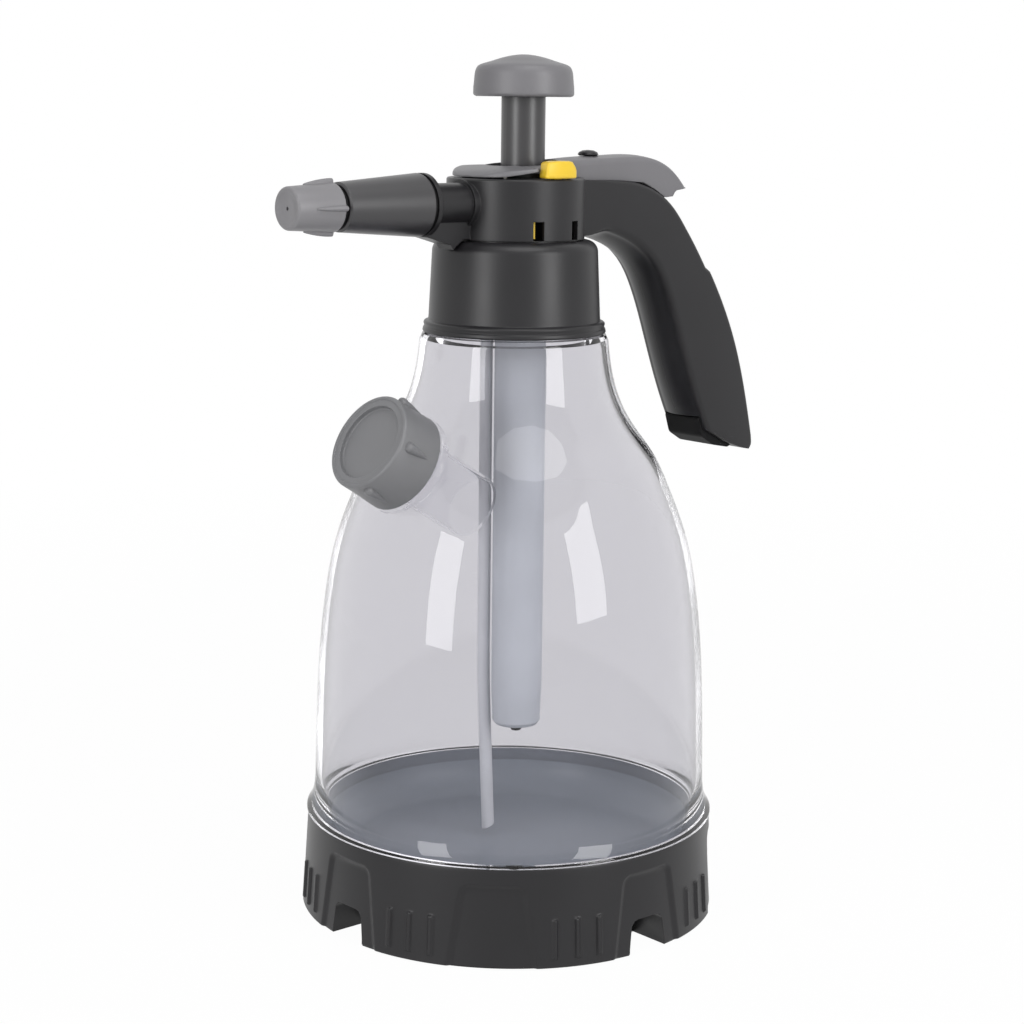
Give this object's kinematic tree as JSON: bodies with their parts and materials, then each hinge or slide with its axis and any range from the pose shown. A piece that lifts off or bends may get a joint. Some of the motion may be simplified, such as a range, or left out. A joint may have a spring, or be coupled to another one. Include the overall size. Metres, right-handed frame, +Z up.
{
  "type": "pump sprayer",
  "caption": "Hand-pumped pressure sprayer: clear bottle on a dark skirted base, side filler cap, pump knob, cone nozzle and curved handle with thumb lever and yellow lock tab.",
  "frame": {"origin": "on the bottle's axis, in the plane of the base's foot", "axes": "+Z up, +X the way the nozzle sprays, the handle on the -X side, the lock tab on the +Y side"},
  "size_m": [0.2033, 0.1424, 0.292],
  "materials": {
    "charcoal_plastic": "fine satin grain, dark charcoal",
    "grey_plastic": "satin, mid grey",
    "filler_grey_plastic": "satin, mid grey",
    "yellow_plastic": "satin yellow",
    "clear_plastic": "glossy, clear with a faint lilac tint",
    "milky_plastic": "translucent milky blue grey",
    "black_plastic": "matt black",
    "black_rubber": "matt black rubber",
    "spring_steel": "bright drawn wire",
    "dark_metal": "dull zinc"
  },
  "bodies": {
    "bottle": {"base_skirt": "charcoal_plastic", "bottle": "clear_plastic", "bottle_shoulder": "clear_plastic", "filler_tube": "clear_plastic"},
    "filler_seal": {"filler_gasket": "black_rubber"},
    "filler_cap": {"filler_cap": "filler_grey_plastic"},
    "head": {"pump_head": "charcoal_plastic", "collar_gasket": "black_rubber", "guide_nut": "charcoal_plastic", "rod_wiper": "black_rubber", "cylinder_seal": "black_rubber", "pump_cylinder": "milky_plastic", "inlet_valve": "black_rubber", "dip_tube": "milky_plastic", "valve_body": "milky_plastic", "valve_spring": "spring_steel", "relief_gland": "milky_plastic", "relief_spring": "spring_steel", "feed_pipe": "milky_plastic", "barrel_seal": "black_rubber", "nozzle_barrel": "charcoal_plastic", "lance_tube": "milky_plastic", "swirl_core": "milky_plastic", "lever_pin": "dark_metal", "handle_left": "charcoal_plastic", "handle_right": "charcoal_plastic", "grip_plug": "black_plastic", "handle_screws": "dark_metal"},
    "collar": {"collar_nut": "charcoal_plastic"},
    "plunger": {"pump_knob": "grey_plastic", "pump_rod": "charcoal_plastic", "piston": "milky_plastic", "piston_seal": "black_rubber"},
    "lever": {"lever": "grey_plastic"},
    "valve": {"valve_stem": "milky_plastic", "valve_seal": "black_rubber"},
    "relief": {"relief_button": "charcoal_plastic", "relief_stem": "charcoal_plastic", "relief_seal": "black_rubber"},
    "lock": {"lock_tab": "yellow_plastic"},
    "nozzle_seal": {"nozzle_oring": "black_rubber"},
    "nozzle_cap": {"nozzle_cap": "grey_plastic"}
  },
  "joints": [
    {"name": "head_lift", "type": "slide", "parent": "bottle", "child": "head", "axis": [0, 0, 1], "range_m": [0, 0.012]},
    {"name": "nut_turn", "type": "hinge", "parent": "head", "child": "collar", "pos_m": [0, 0, 0.2155], "axis": [0, 0, 1], "range_deg": [0, 1081]},
    {"name": "filler_lift", "type": "slide", "parent": "bottle", "child": "filler_seal", "axis": [0.8572, 0, 0.515], "range_m": [0, 0.0045]},
    {"name": "filler_turn", "type": "hinge", "parent": "filler_seal", "child": "filler_cap", "pos_m": [0.0479, 0, 0.1592], "axis": [0.8572, 0, 0.515], "range_deg": [0, 541]},
    {"name": "nozzle_lift", "type": "slide", "parent": "head", "child": "nozzle_seal", "axis": [1, 0, 0], "range_m": [0, 0.002]},
    {"name": "nozzle_turn", "type": "hinge", "parent": "nozzle_seal", "child": "nozzle_cap", "pos_m": [0.0762, 0, 0.2433], "axis": [1, 0, 0], "range_deg": [0, 361]},
    {"name": "pump_stroke", "type": "slide", "parent": "head", "child": "plunger", "axis": [0, 0, 1], "range_m": [-0.0175, 0.14]},
    {"name": "lever_press", "type": "hinge", "parent": "head", "child": "lever", "pos_m": [0.014, 0, 0.2525], "axis": [0, -1, 0], "range_deg": [0, 4.5], "stiffness_Nm_per_rad": 0.5, "springref_deg": -5.73},
    {"name": "valve_press", "type": "slide", "parent": "head", "child": "valve", "axis": [0, 0, -1], "range_m": [0, 0.0032], "deforming": ["valve_spring"]},
    {"name": "relief_pull", "type": "slide", "parent": "head", "child": "relief", "axis": [0, 0, 1], "range_m": [0, 0.003], "stiffness_N_per_m": 200, "springref_m": -0.003, "deforming": ["relief_spring"]},
    {"name": "lock_turn", "type": "hinge", "parent": "head", "child": "lock", "pos_m": [0, 0, 0.2516], "axis": [0, 0, -1], "range_deg": [-14, 0]}
  ],
  "couplings": [
    {"joint": "nut_turn", "follows": "head_lift", "rad_per_m": 1570.8},
    {"joint": "filler_turn", "follows": "filler_lift", "rad_per_m": 2094.4},
    {"joint": "nozzle_turn", "follows": "nozzle_lift", "rad_per_m": 3141.6},
    {"joint": "valve_press", "follows": "lever_press", "m_per_rad": 0.0398}
  ]
}
